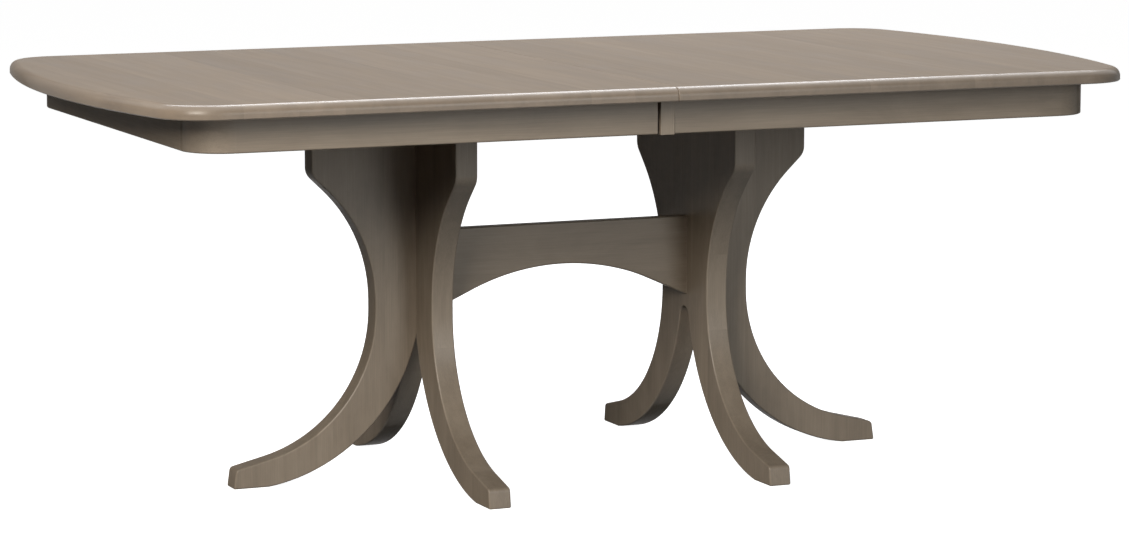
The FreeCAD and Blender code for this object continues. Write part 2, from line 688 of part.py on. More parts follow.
# The pinion and the racks. All gear shares below are in modules, the unit of tooth size.
pressure = math.radians(size.pressure_angle.number)
pitch_share = teeth / 2
base_share = pitch_share * math.cos(pressure)
root_share = pitch_share - 1.25
tip_share = pitch_share + 1
backlash_share = size.backlash.number / size.gear_module.number / 4


def involute(angle):
    return math.tan(angle) - angle


def flank_point(radius_share):
    """The point of a tooth gap's lower flank at that radius, the gap lying along the X axis."""
    reach = max(radius_share, base_share)
    spread = math.pi / (2 * teeth) + backlash_share / pitch_share - involute(pressure)
    spread += involute(math.acos(base_share / reach))
    return radius_share * math.cos(spread), -radius_share * math.sin(spread)


def flank_bulge():
    """How far the flank between the base circle and the tip rises, as a share of its chord."""
    low_x, low_y = flank_point(base_share)
    high_x, high_y = flank_point(tip_share)
    middle_x, middle_y = flank_point((base_share + tip_share) / 2)
    chord = math.hypot(high_x - low_x, high_y - low_y)
    rise = (high_x - low_x) * (middle_y - low_y) - (high_y - low_y) * (middle_x - low_x)
    return -abs(rise) / chord / chord


pinion = new_body("pinion")
pinion_sketch = new_sketch(pinion, "XY_Plane", pinion_bottom)
draw_circles(pinion_sketch, [(0, 0)], size.gear_module * tip_share)
draw_circles(pinion_sketch, [(0, 0)], hub_hole)
pad(pinion, pinion_sketch, size.pinion_thickness)
root_x, root_y = flank_point(root_share)
base_x, base_y = flank_point(base_share)
tip_x, tip_y = flank_point(tip_share)
gap_side = [(size.gear_module * root_x, size.gear_module * root_y, 0),
            (size.gear_module * base_x, size.gear_module * base_y, flank_bulge()),
            (size.gear_module * tip_x, size.gear_module * tip_y, 0),
            (size.gear_module * tip_x + size.overrun, size.gear_module * tip_y, 0)]
gap_sketch = new_sketch(pinion, "XY_Plane", pinion_bottom - size.overrun)
draw_outline(gap_sketch, gap_side + flipped(gap_side, axis=1))
gap = pocket(pinion, gap_sketch, size.pinion_thickness + size.overrun * 2)
repeat(pinion, "PolarPattern", gap, "N_Axis", teeth, "Angle", FULL_TURN)
put(pinion, turn=FULL_TURN / 4 - FULL_TURN / (2 * teeth))

# The two racks are alike, one turned half round from the other. With an odd tooth count one of them
# starts half a tooth further along.
gap_root = tooth_pitch / 4 + size.backlash / 4 - size.gear_module * (1.25 * math.tan(pressure))
gap_mouth = tooth_pitch / 4 + size.backlash / 4 + (size.gear_module + size.overrun) * math.tan(pressure)
lead_gaps = int(size.rack_margin.number / tooth_pitch.number)
gap_count = lead_gaps + 1 + int(rack_reach.number / tooth_pitch.number)


def rack(label, side, turn):
    """A rack, drawn on the right half: its teeth face the pinion, and its plain end takes the
    screws."""
    body = new_body(label)
    sketch = new_sketch(body, "XY_Plane", rack_bottom)
    draw_outline(sketch, rectangle(
        -rack_reach, pitch_radius - size.gear_module, size.rack_foot, rack_root + size.rack_back))
    pad(body, sketch, size.rack_height)
    half_step = 0.5 * (teeth % 2) * (side < 0)
    first = tooth_pitch * (lead_gaps + half_step)
    mouth_y = pitch_radius - size.gear_module - size.overrun
    gap_outline = new_sketch(body, "XY_Plane", rack_bottom - size.overrun)
    draw_outline(gap_outline, [(first - gap_mouth, mouth_y, 0), (first + gap_mouth, mouth_y, 0),
                               (first + gap_root, rack_root, 0), (first - gap_root, rack_root, 0)])
    tooth_gap = pocket(body, gap_outline, size.rack_height + size.overrun * 2)
    row_of_gaps = repeat(body, "LinearPattern", tooth_gap, "H_Axis", gap_count, "Length",
                         tooth_pitch * (gap_count - 1))
    row_of_gaps.Reversed = True
    relief = new_sketch(body, "XY_Plane", underside - size.rail_relief)
    draw_outline(relief, rectangle(-rack_reach - size.overrun, 0, seam, rack_root + size.rack_back * 2))
    pocket(body, relief, size.rail_relief + size.overrun)
    bore_screw_holes(body, [(x, rack_screw_row) for x in rack_screws_x], rack_bottom)
    put(body, turn=turn)


# Top halves. Each is drawn as the right half, and the left one is turned half round, so what is
# near on one is far on the other.

def bore_screw_holes(body, places, bottom):
    """Holes for the screws that go up into the top, with a recess for the head from below."""
    recess = (underside - bottom) - size.screw_radius * 4
    drill(body, places, screw_hole, bottom - size.overrun, underside - bottom + size.overrun * 2)
    drill(body, places, size.screw_head_radius + size.fit_clearance, bottom - size.overrun,
          recess + size.overrun)


rail_screws_x = [rail_end * share for share in (
    size.first_screw_share, size.middle_screw_share, size.last_screw_share)]
rack_screws_x = [size.rack_foot * share for share in (
    size.first_screw_share + size.middle_screw_share / 2, size.last_screw_share)]
pin_rows = [half_width * size.inner_pin_share, half_width * size.outer_pin_share]


def pin_places():
    return [(row * side, pin_height) for row in pin_rows for side in (-1, 1)]


def top_panel(label, turn, hole_radius, hole_depth, screw_places):
    """Half of the top: boards glued side by side across the table, with a bowed end, rounded
    corners and a broad round along the upper edge."""
    body = new_body(label)
    corner = half_length - size.end_bow
    sketch = new_sketch(body, "XY_Plane", underside)
    draw_outline(sketch, [
        (seam, -half_width, 0), (corner, -half_width, size.end_bow / size.top_width),
        (corner, half_width, 0), (seam, half_width, 0)])
    pad(body, sketch, size.top_thickness)
    past_seam = seam.number + TOUCH
    soften(body, "Fillet", size.corner_radius, lambda box: is_upright(box) and box.XMin > past_seam)
    soften(body, "Fillet", size.top_round,
           lambda box: is_level(box, size.table_height) and box.XMax > past_seam)
    soften(body, "Chamfer", size.top_ease,
           lambda box: is_level(box, underside) and box.XMax > past_seam)
    drill_along(body, pin_places(), hole_radius, seam - size.overrun, hole_depth + size.overrun)
    drill(body, screw_places, screw_hole, underside - size.overrun, size.screw_bite + size.overrun)
    put(body, turn=turn)


def straight_skirt(label, corners, outer, turn):
    """A straight board of the skirt. Its lower outer edge is eased."""
    body = new_body(label)
    sketch = new_sketch(body, "XY_Plane", skirt_bottom)
    draw_outline(sketch, corners)
    pad(body, sketch, size.skirt_height)
    soften(body, "Chamfer", size.skirt_ease, lambda box: is_level(box, skirt_bottom) and outer(box))
    put(body, turn=turn)


def skirt_corners(label, turn):
    """Two rounded corners. Each has a tongue that laps behind the end of both boards."""
    inner = size.skirt_corner_radius - size.skirt_thickness
    tongue = inner - size.corner_tongue_thickness
    reach = -size.corner_tongue_length
    outline = [(size.skirt_corner_radius, 0, arc_share(90)), (0, size.skirt_corner_radius, 0),
               (0, inner, 0), (reach, inner, 0), (reach, tongue, 0), (0, tongue, 0),
               (tongue, 0, 0), (tongue, reach, 0), (inner, reach, 0), (inner, 0, 0)]
    far = [(corner_x + x, corner_y + y, bulge) for x, y, bulge in outline]
    body = new_body(label)
    sketch = new_sketch(body, "XY_Plane", skirt_bottom)
    draw_outline(sketch, far)
    draw_outline(sketch, flipped(far, axis=1))
    pad(body, sketch, size.skirt_height)
    radius = size.skirt_corner_radius.number
    soften(body, "Chamfer", size.skirt_ease, lambda box: (
        is_level(box, skirt_bottom) and abs(box.XLength - radius) < TOUCH
        and abs(box.YLength - radius) < TOUCH))
    put(body, turn=turn)


SIDE_BLOCK_SHARES = (0.19, 0.47, 0.75)
END_BLOCK_SHARES = (-0.28, 0, 0.28)


def glue_blocks(label, turn):
    """Blocks glued into the corner between the skirt and the top."""
    body = new_body(label)
    half_block = size.glue_block_length / 2
    sketch = new_sketch(body, "XY_Plane", underside - size.glue_block_height)
    for share in SIDE_BLOCK_SHARES:
        middle = skirt_inner_end * share
        block = rectangle(middle - half_block, skirt_inner_side - size.glue_block_width,
                          middle + half_block, skirt_inner_side)
        draw_outline(sketch, block)
        draw_outline(sketch, flipped(block, axis=1))
    for share in END_BLOCK_SHARES:
        middle = skirt_inner_side * share
        draw_outline(sketch, rectangle(skirt_inner_end - size.glue_block_width, middle - half_block,
                                       skirt_inner_end, middle + half_block))
    pad(body, sketch, size.glue_block_height)
    put(body, turn=turn)


def rail(label, outboard, row, turn):
    """A moving rail with a tongue along the face that runs beside the fixed slide. It is drawn
    about the slide's own middle line. Its tail runs under the other half of the top."""
    body = new_body(label)
    tongue_reach = rail_face - size.tongue_length
    tongue_half = size.groove_height / 2 - size.tongue_play
    back = rail_face + size.rail_width
    section = [(rail_face, rail_bottom, 0), (back, rail_bottom, 0), (back, underside, 0),
               (rail_face, underside, 0), (rail_face, groove_middle + tongue_half, 0),
               (tongue_reach, groove_middle + tongue_half, 0),
               (tongue_reach, groove_middle - tongue_half, 0),
               (rail_face, groove_middle - tongue_half, 0)]
    middle = rail_middle if outboard else -rail_middle
    sketch = new_sketch(body, "YZ_Plane", -size.rail_tail)
    draw_outline(sketch, section if outboard else flipped(section))
    pad(body, sketch, size.rail_tail + rail_end)
    relief = new_sketch(body, "XY_Plane", underside - size.rail_relief)
    draw_outline(relief, rectangle(-size.rail_tail - size.overrun, -back - size.overrun,
                                   seam, back + size.overrun))
    pocket(body, relief, size.rail_relief + size.overrun)
    bore_screw_holes(body, [(x, middle) for x in rail_screws_x], rail_bottom)
    put(body, y=row, turn=turn)


def top_screws(label, places, bottom, turn):
    """The screws that go up into the top."""
    body = new_body(label)
    seat = underside - size.screw_radius * 4
    bars(body, places, size.screw_radius, seat, size.screw_bite + size.screw_radius * 4)
    bars(body, places, size.screw_head_radius, seat - size.screw_head_height, size.screw_head_height)
    put(body, turn=turn)


def top_half(name, side, turn, rails_outboard, skirt_start, pin_hole, pin_depth):
    """Everything that slides with one half of the top."""
    near, far = ("near", "far") if side > 0 else ("far", "near")
    rail_row = slide_place + (rail_middle if rails_outboard else -rail_middle)
    rail_spots = [spot for x in rail_screws_x for spot in both_sides(x, rail_row)]
    rack_spots = [(x, rack_screw_row) for x in rack_screws_x]
    top_panel(name + "_top_panel", turn, pin_hole, pin_depth, rail_spots + rack_spots)
    far_skirt = rectangle(skirt_start, skirt_inner_side, corner_x, skirt_side)
    straight_skirt("%s_%s_skirt" % (name, far), far_skirt,
                   lambda box: abs(box.Center.y - skirt_side.number) < TOUCH, turn)
    straight_skirt("%s_%s_skirt" % (name, near), flipped(far_skirt, axis=1),
                   lambda box: abs(box.Center.y + skirt_side.number) < TOUCH, turn)
    straight_skirt(name + "_end_skirt", rectangle(skirt_inner_end, -corner_y, skirt_end, corner_y),
                   lambda box: abs(box.Center.x - skirt_end.number) < TOUCH, turn)
    skirt_corners(name + "_skirt_corners", turn)
    glue_blocks(name + "_glue_blocks", turn)
    rail("%s_%s_rail" % (name, far), rails_outboard, slide_place * side, turn)
    rail("%s_%s_rail" % (name, near), not rails_outboard, -slide_place * side, turn)
    rack(name + "_rack", side, turn)
    top_screws(name + "_rail_screws", rail_spots, rail_bottom, turn)
    top_screws(name + "_rack_screws", rack_spots, rack_bottom, turn)


pin_hole_left = size.seam_pin_radius + size.fit_clearance
pin_depth_left = size.seam_pin_length - size.seam_pin_reach + size.fit_clearance
pin_hole_right = size.seam_pin_radius + size.seam_pin_play
block_end = size.seam_block_length - size.seam_block_reach
top_half("left", -1, 180, True, size.skirt_start_left, pin_hole_left, pin_depth_left)
top_half("right", 1, 0, False, block_end, pin_hole_right, size.seam_pin_reach + size.overrun)

# Pins in the left half's edge that line the two halves up
seam_pins = new_body("left_seam_pins")
bars_along(seam_pins, pin_places(), size.seam_pin_radius,
           size.seam_pin_reach - size.seam_pin_length - seam, size.seam_pin_length)

# Short blocks that end the right half's skirt at the seam. They stand a little proud.
seam_blocks = new_body("right_seam_blocks")
block_sketch = new_sketch(seam_blocks, "XY_Plane", skirt_bottom - size.seam_block_drop)
far_block = rectangle(-size.seam_block_reach, skirt_inner_side, block_end,
                      skirt_side + size.seam_block_proud)
draw_outline(block_sketch, far_block)
draw_outline(block_sketch, flipped(far_block, axis=1))
pad(seam_blocks, block_sketch, size.skirt_height + size.seam_block_drop)

# Locks. A hooked lever on the right half swings round its pin, and its slot takes the keeper's stud
# on the left half. The slot is an arc about the pin, so the stud never binds in it.
plate_bottom = underside - size.lock_plate_thickness
head_top = lever_bottom - size.lever_play
head_bottom = head_top - size.lock_head_height
half_plate = size.lock_plate_width / 2


def lock_plates(label, middle, length):
    """Two plates under the top, each with a headed pin that stands down from it."""
    body = new_body(label)
    sketch = new_sketch(body, "XY_Plane", plate_bottom)
    far_plate = rectangle(middle - length / 2, lock_place - half_plate,
                          middle + length / 2, lock_place + half_plate)
    draw_outline(sketch, far_plate)
    draw_outline(sketch, flipped(far_plate, axis=1))
    pad(body, sketch, size.lock_plate_thickness)
    pins = both_sides(middle, lock_place)
    bars(body, pins, size.lock_pin_radius, head_bottom, plate_bottom - head_bottom, draw_circles)
    bars(body, pins, size.lock_head_radius, head_bottom, size.lock_head_height)


lock_plates("left_lock_keepers", -size.keeper_reach, size.keeper_plate_length)
lock_plates("right_lock_bases", size.lock_pivot_reach, size.lock_plate_length)


def lock_lever(label, side):
    """A lever about its own pin, with its arm along X, at rest swung away from the seam."""
    body = new_body(label)
    lead_x, lead_y = polar(hook_tip, size.hook_lead_angle)
    heel_x, heel_y = polar(hook_tip, size.hook_heel_angle)
    outline = [(lead_x, -lead_y, arc_share(size.hook_lead_angle + size.hook_heel_angle)),
               (heel_x, heel_y, 0), (0, size.lever_half_width, 0),
               (-size.grip_reach, size.grip_half_width, arc_share(90)),
               (-size.grip_reach - size.grip_half_width, 0, arc_share(90)),
               (-size.grip_reach, -size.grip_half_width, 0), (0, -size.lever_half_width, 0)]
    sketch = new_sketch(body, "XY_Plane", lever_bottom)
    draw_outline(sketch, outline if side < 0 else flipped(outline, axis=1))
    pad(body, sketch, size.lever_thickness)
    slot = new_sketch(body, "XY_Plane", lever_bottom - size.overrun)
    inner_x, inner_y = polar(lock_throw - slot_half, size.slot_angle)
    outer_x, outer_y = polar(lock_throw + slot_half, size.slot_angle)
    sweep = arc_share(size.slot_angle)
    slot_outline = [(inner_x, -inner_y, 0), (outer_x, -outer_y, sweep),
                    (lock_throw + slot_half, 0, arc_share(90)), (lock_throw, slot_half, arc_share(90)),
                    (lock_throw - slot_half, 0, -sweep)]
    draw_outline(slot, slot_outline if side < 0 else flipped(slot_outline, axis=1))
    pocket(body, slot, size.lever_thickness + size.overrun * 2)
    drill(body, [(0, 0)], size.lock_pin_radius + size.fit_clearance,
          lever_bottom - size.overrun, size.lever_thickness + size.overrun * 2, draw_circles)
    put(body, x=size.lock_pivot_reach, y=lock_place * side, turn=FULL_TURN / 4 * side)


lock_lever("near_lock_lever", -1)
lock_lever("far_lock_lever", 1)

# Every feature has to have worked, and every piece has to be sound, before anything is written.
document.recompute()
for item in document.Objects:
    if "Invalid" in item.State or "Error" in item.State:
        raise RuntimeError(item.Label + " did not compute")
for node in nodes:
    if node.Shape.isNull() or not node.Shape.isValid():
        raise RuntimeError(node.Label + " is not a sound solid")
os.makedirs("parts", exist_ok=True)
for node in nodes:
    node.Shape.exportStep("parts/%s.step" % node.Label)
print(len(nodes), "pieces and", sum(len(node.Shape.Solids) for node in nodes), "solids")
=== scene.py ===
import json
import math

import bmesh
import bpy
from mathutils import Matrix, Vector


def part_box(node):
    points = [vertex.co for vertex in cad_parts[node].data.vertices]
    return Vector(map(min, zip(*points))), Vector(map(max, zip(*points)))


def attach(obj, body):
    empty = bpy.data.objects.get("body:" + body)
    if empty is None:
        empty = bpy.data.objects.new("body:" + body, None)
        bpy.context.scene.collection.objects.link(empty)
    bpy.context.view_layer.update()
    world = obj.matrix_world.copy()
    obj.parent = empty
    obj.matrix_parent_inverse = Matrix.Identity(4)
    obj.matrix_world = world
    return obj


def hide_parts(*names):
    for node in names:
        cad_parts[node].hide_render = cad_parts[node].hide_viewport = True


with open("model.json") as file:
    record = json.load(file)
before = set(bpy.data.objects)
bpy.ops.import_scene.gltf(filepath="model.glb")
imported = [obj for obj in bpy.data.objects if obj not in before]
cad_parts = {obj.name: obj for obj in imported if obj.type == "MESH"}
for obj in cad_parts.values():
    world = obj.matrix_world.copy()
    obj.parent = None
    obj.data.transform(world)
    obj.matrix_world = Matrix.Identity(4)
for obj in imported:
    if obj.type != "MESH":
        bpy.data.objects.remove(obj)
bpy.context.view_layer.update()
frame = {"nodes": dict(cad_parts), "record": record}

# Camera. It stands off the table's left end, a little above the top, where the photograph was
# taken from. Its place and angles come from fitting the table's outline to the photograph.
EYE = Vector((-3.0304, -7.0834, 1.4426))
LOOK_YAW = 23.222
LOOK_DOWN = 7.900
FOCAL_LENGTH = 131.15
SENSOR_WIDTH = 36.0
FARTHEST_SEEN = 100.0

scene = bpy.context.scene
camera_data = bpy.data.cameras.new("photo_camera")
camera_data.lens = FOCAL_LENGTH
camera_data.sensor_width = SENSOR_WIDTH
camera_data.sensor_fit = "HORIZONTAL"
camera_data.clip_end = FARTHEST_SEEN
camera = bpy.data.objects.new("photo_camera", camera_data)
scene.collection.objects.link(camera)
camera.location = EYE
camera.rotation_euler = (math.radians(90 - LOOK_DOWN), 0, math.radians(-LOOK_YAW))
scene.camera = camera
scene.view_settings.view_transform = "Standard"

# Studio. Softboxes high on the left and in front light the near side, one overhead evens the top, and
# a long one above the far side draws the bright line along its near edge. Floor and air are white to
# the camera and in gloss but throw little light, and from below the floor is clear.
SOFTBOXES = (
    # name, place, point that it faces, width, depth, watts, colour
    ("key", (-2.9, -3.0, 2.6), (0.0, 0.0, 0.3), 2.0, 1.8, 180.0, (1.0, 0.945, 0.86)),
    ("overhead", (1.4, 0.5, 3.4), (1.2, -0.2, 0.7), 2.8, 1.4, 31.0, (0.97, 0.98, 1.0)),
    ("rim", (0.9, 2.3, 3.7), (0.0, -0.4, 0.7), 3.8, 1.2, 98.0, (0.92, 0.95, 1.0)),
    ("front", (1.5, -5.0, 1.6), (0.0, 0.0, 0.4), 1.8, 1.8, 60.0, (0.90, 0.95, 0.97)),
)
WHITE = (1.0, 1.0, 1.0, 1.0)
AMBIENT = 0.016
FLOOR_HALF = 40.0
FLOOR_GLOW = 0.97
FLOOR_TONE = 0.80
FLOOR_TONE_UNSEEN = 0.05


def add(tree, kind, inputs=None, **settings):
    """A shader node with its settings, and its inputs set to values or wired from sockets."""
    made = tree.nodes.new(kind)
    for name, value in settings.items():
        setattr(made, name, value)
    for key, value in (inputs or {}).items():
        if isinstance(value, bpy.types.NodeSocket):
            tree.links.new(value, made.inputs[key])
        else:
            made.inputs[key].default_value = value
    return made


def math_of(tree, operation, *values):
    """The result of one sum on values or sockets."""
    return add(tree, "ShaderNodeMath", dict(enumerate(values)), operation=operation).outputs[0]


def ramped(tree, value, low, high, start=0.0, end=1.0):
    """Start where the value is at low, end where it is at high, and evenly between them."""
    return add(tree, "ShaderNodeMapRange", {
        "Value": value, "From Min": low, "From Max": high, "To Min": start, "To Max": end}).outputs[0]


def seen_directly(tree):
    """1 for rays from the camera, in gloss and through glass, and 0 for the light between surfaces."""
    path = add(tree, "ShaderNodeLightPath").outputs
    either = math_of(tree, "MAXIMUM", path["Is Camera Ray"], path["Is Glossy Ray"])
    return math_of(tree, "MAXIMUM", either, path["Is Transmission Ray"])


for name, place, target, width, depth, watts, colour in SOFTBOXES:
    lamp = bpy.data.lights.new(name + "_softbox", "AREA")
    lamp.shape = "RECTANGLE"
    lamp.size = width
    lamp.size_y = depth
    lamp.energy = watts
    lamp.color = colour
    box_light = bpy.data.objects.new(name + "_softbox", lamp)
    scene.collection.objects.link(box_light)
    box_light.location = place
    aim = Vector(target) - Vector(place)
    box_light.rotation_euler = aim.to_track_quat("-Z", "Y").to_euler()

air = bpy.data.worlds.new("studio_air")
scene.world = air
air.use_nodes = True
air.node_tree.nodes.clear()
strength = ramped(air.node_tree, seen_directly(air.node_tree), 0.0, 1.0, AMBIENT, 1.0)
background = add(air.node_tree, "ShaderNodeBackground", {"Color": WHITE, "Strength": strength})
add(air.node_tree, "ShaderNodeOutputWorld", {"Surface": background.outputs[0]})

floor_mesh = bpy.data.meshes.new("studio_floor")
floor_mesh.from_pydata(
    [(x * FLOOR_HALF, y * FLOOR_HALF, 0) for x, y in ((-1, -1), (1, -1), (1, 1), (-1, 1))],
    [], [(0, 1, 2, 3)])
floor = bpy.data.objects.new("studio_floor", floor_mesh)
scene.collection.objects.link(floor)
floor_paint = bpy.data.materials.new("studio_floor_white")
floor_paint.use_nodes = True
floor_tree = floor_paint.node_tree
floor_tree.nodes.clear()
direct = seen_directly(floor_tree)
matt = add(floor_tree, "ShaderNodeBsdfDiffuse", {
    "Color": ramped(floor_tree, direct, 0.0, 1.0, FLOOR_TONE_UNSEEN, FLOOR_TONE)})
glow = add(floor_tree, "ShaderNodeEmission", {
    "Color": WHITE, "Strength": math_of(floor_tree, "MULTIPLY", direct, FLOOR_GLOW)})
both = add(floor_tree, "ShaderNodeAddShader", {0: matt.outputs[0], 1: glow.outputs[0]})
from_below = add(floor_tree, "ShaderNodeNewGeometry").outputs["Backfacing"]
clear = add(floor_tree, "ShaderNodeBsdfTransparent")
open_below = add(floor_tree, "ShaderNodeMixShader", {
    0: from_below, 1: both.outputs[0], 2: clear.outputs[0]})
add(floor_tree, "ShaderNodeOutputMaterial", {"Surface": open_below.outputs[0]})
floor_mesh.materials.append(floor_paint)

# Top halves. Each is a slab of boards glued side by side across the table, with a broad round along
# its upper edge, sealed all over in a grey-brown stain. They meet at the seam, where the CAD's working
# gap is taken up so that no light shows through.
TOP_STAIN = ((0.262, 0.205, 0.155), (0.200, 0.155, 0.116), (0.322, 0.262, 0.204))
BOARD_JOINTS = (-0.905, -0.812, -0.714, -0.630, -0.528, -0.430, -0.355, -0.222, -0.175, -0.092,
                0.0, 0.108, 0.196, 0.285, 0.372, 0.472, 0.589, 0.624, 0.735, 0.842)
BOARD_TONES = (0.52, 0.44, 0.60, 0.64, 0.34, 0.46, 0.40, 0.55, 0.42, 0.60, 0.50,
               0.38, 0.47, 0.56, 0.42, 0.52, 0.45, 0.57, 0.40, 0.50, 0.44)
SEAM_EASE = 0.0016
CLOSED_SEAM = 0.00005
SAME_PLACE = 0.00002

# Wood grain, as a group. It runs along the X axis of the vector that the group is given.
GRAIN_LAYERS = (
    # output, cycles per metre along and across the grain, detail, low and high end of its range
    ("Cloud", 5.0, 12.0, 4.0, 0.32, 0.68),
    ("Figure", 2.4, 46.0, 4.0, 0.36, 0.64),
    ("Streak", 1.7, 24.0, 3.0, 0.56, 0.76),
    ("Fibre", 9.0, 620.0, 3.0, 0.35, 0.65),
)
GRAIN_ROUGHNESS = 0.62
GRAIN_BEND = 0.5
FLECK_SCALE = (34.0, 1500.0, 1500.0)
FLECK_DETAIL = 2.0
FLECK_ROUGHNESS = 0.55
FLECK_SHARE = 0.4
BOARD_SHIFT = {"X": 31.7, "Y": 17.3, "Z": 5.9}


def new_group(name, inputs, outputs):
    """An empty shader group with its named sockets, and its input and output nodes."""
    group = bpy.data.node_groups.new(name, "ShaderNodeTree")
    for label, kind in inputs:
        group.interface.new_socket(label, in_out="INPUT", socket_type="NodeSocket" + kind)
    for label, kind in outputs:
        group.interface.new_socket(label, in_out="OUTPUT", socket_type="NodeSocket" + kind)
    return group, group.nodes.new("NodeGroupInput").outputs, group.nodes.new("NodeGroupOutput").inputs


def stretched_noise(tree, vector, scale, detail, roughness, bend=0.0):
    """Noise whose scale differs along the three axes, in cycles per metre."""
    placed = add(tree, "ShaderNodeMapping", {"Vector": vector, "Scale": scale}).outputs[0]
    return add(tree, "ShaderNodeTexNoise", {
        "Vector": placed, "Scale": 1.0, "Detail": detail, "Roughness": roughness,
        "Distortion": bend}).outputs["Fac"]


grain_group, given, gives = new_group(
    "wood_grain", (("Vector", "Vector"), ("Board", "Float")),
    (("Cloud", "Float"), ("Figure", "Float"), ("Streak", "Float"), ("Fibre", "Float"),
     ("Height", "Float")))
board_shift = add(grain_group, "ShaderNodeCombineXYZ", {
    direction: math_of(grain_group, "MULTIPLY", given["Board"], metres)
    for direction, metres in BOARD_SHIFT.items()}).outputs[0]
shifted = add(grain_group, "ShaderNodeVectorMath", {0: given["Vector"], 1: board_shift}).outputs[0]
layers = {}
for label, lengthwise, crosswise, detail, low_end, high_end in GRAIN_LAYERS:
    layers[label] = stretched_noise(grain_group, shifted, (lengthwise, crosswise, crosswise), detail,
                                    GRAIN_ROUGHNESS, GRAIN_BEND)
    grain_group.links.new(ramped(grain_group, layers[label], low_end, high_end), gives[label])
fleck = stretched_noise(grain_group, shifted, FLECK_SCALE, FLECK_DETAIL, FLECK_ROUGHNESS)
pores = math_of(grain_group, "ADD", math_of(grain_group, "MULTIPLY", layers["Fibre"], 1 - FLECK_SHARE),
                math_of(grain_group, "MULTIPLY", fleck, FLECK_SHARE))
grain_group.links.new(pores, gives["Height"])

# Rubbed edges with a painted highlight, as a group. The mask shows where the rounded surface turns
# away from the flat one, where the colour is made lighter, partly for wear and partly as a painted
# highlight.
ROUNDING_RAYS = 6
RUBBED_AND_HIGHLIT_FROM, RUBBED_AND_HIGHLIT_FULLY = 0.985, 0.80
RUBBED_AND_HIGHLIT_PATCHES = {"Scale": 9.0, "Detail": 4.0, "Roughness": 0.65}
RUBBED_AND_HIGHLIT_PATCH_RANGE = (0.34, 0.66)

edge_wear_and_highlight_group, given, gives = new_group(
    "rubbed_and_highlit_edge", (("Vector", "Vector"), ("Radius", "Float")), (("Mask", "Float"),))
rounded = add(edge_wear_and_highlight_group, "ShaderNodeBevel", {"Radius": given["Radius"]},
              samples=ROUNDING_RAYS).outputs[0]
true_normal = add(edge_wear_and_highlight_group, "ShaderNodeNewGeometry").outputs["True Normal"]
turn = add(edge_wear_and_highlight_group, "ShaderNodeVectorMath", {0: rounded, 1: true_normal},
           operation="DOT_PRODUCT").outputs["Value"]
edge = ramped(edge_wear_and_highlight_group, turn, RUBBED_AND_HIGHLIT_FROM, RUBBED_AND_HIGHLIT_FULLY)
patches = add(edge_wear_and_highlight_group, "ShaderNodeTexNoise", {
    "Vector": given["Vector"], **RUBBED_AND_HIGHLIT_PATCHES}).outputs["Fac"]
in_patches = ramped(edge_wear_and_highlight_group, patches, *RUBBED_AND_HIGHLIT_PATCH_RANGE)
edge_wear_and_highlight_group.links.new(math_of(edge_wear_and_highlight_group, "MULTIPLY", edge, in_patches), gives["Mask"])

# Stained wood. Ranges are given as their low and high ends.
CLOUD_SHARE = 0.42
FIGURE_SHARE = 0.42
STREAK_SHARE = 0.7
LAYER_TONES = {"Figure": (0.88, 1.11), "Streak": (1.0, 1.12), "Fibre": (0.89, 1.09)}
PAST_LAST_JOINT = 0.1
TONE_RANGE = (0.3, 0.7)
BOARD_LIFT = (0.93, 1.07)
# End grain is darkened, partly because it takes more stain and partly as painted shade on the top's
# edge bands.
END_GRAIN_STAIN_AND_SHADE = (0.83, 0.835, 0.84)
END_GRAIN_AND_SHADE_TURN = (0.25, 0.85)
WOOD_RUB_AND_HIGHLIGHT_RADIUS = 0.004
SMOOTHER, ROUGHER = 0.04, 0.05
PORE_DEPTH = 0.0004
SHINE_EDGE_ON = 0.006
ROUND_FACES_UP = (0.40, 0.65)
ROUND_FACES_OUT = (0.09, 0.20)
ROUND_TURNS_AWAY = (0.62, 0.70)


def rgba(colour):
    return (*colour, 1.0)


def grey(tone):
    return (tone, tone, tone, 1.0)


def colour_mix(tree, factor, first, second, blend="MIX"):
    """Two colours mixed. The sockets are numbered, as the node has others of the same names."""
    return add(tree, "ShaderNodeMix", {0: factor, 6: first, 7: second}, data_type="RGBA",
               blend_type=blend).outputs[2]


def grain_along(tree, axis):
    """Places on the table in metres, plain, split, and turned so that the grain's axis is first."""
    place = add(tree, "ShaderNodeTexCoord").outputs["Object"]
    parts = add(tree, "ShaderNodeSeparateXYZ", {0: place}).outputs
    order = {"X": ("X", "Y", "Z"), "Y": ("Y", "X", "Z"), "Z": ("Z", "X", "Y")}[axis]
    turned = add(tree, "ShaderNodeCombineXYZ", {
        "X": parts[order[0]], "Y": parts[order[1]], "Z": parts[order[2]]}).outputs[0]
    return place, parts, turned


def board_tone(tree, distance, joints, tones):
    """Each board's own tone, from the distance across the boards and the joints between them."""
    low, high = joints[0] - PAST_LAST_JOINT, joints[-1] + PAST_LAST_JOINT
    ramp = add(tree, "ShaderNodeValToRGB", {"Fac": ramped(tree, distance, low, high)})
    ramp.color_ramp.interpolation = "CONSTANT"
    stops = ramp.color_ramp.elements
    stops[0].position, stops[0].color = 0.0, grey(tones[0])
    stops[1].position, stops[1].color = 1.0, grey(tones[-1])
    for joint, tone in zip(joints, tones[1:]):
        stops.new((joint - low) / (high - low)).color = grey(tone)
    return ramp.outputs["Color"]


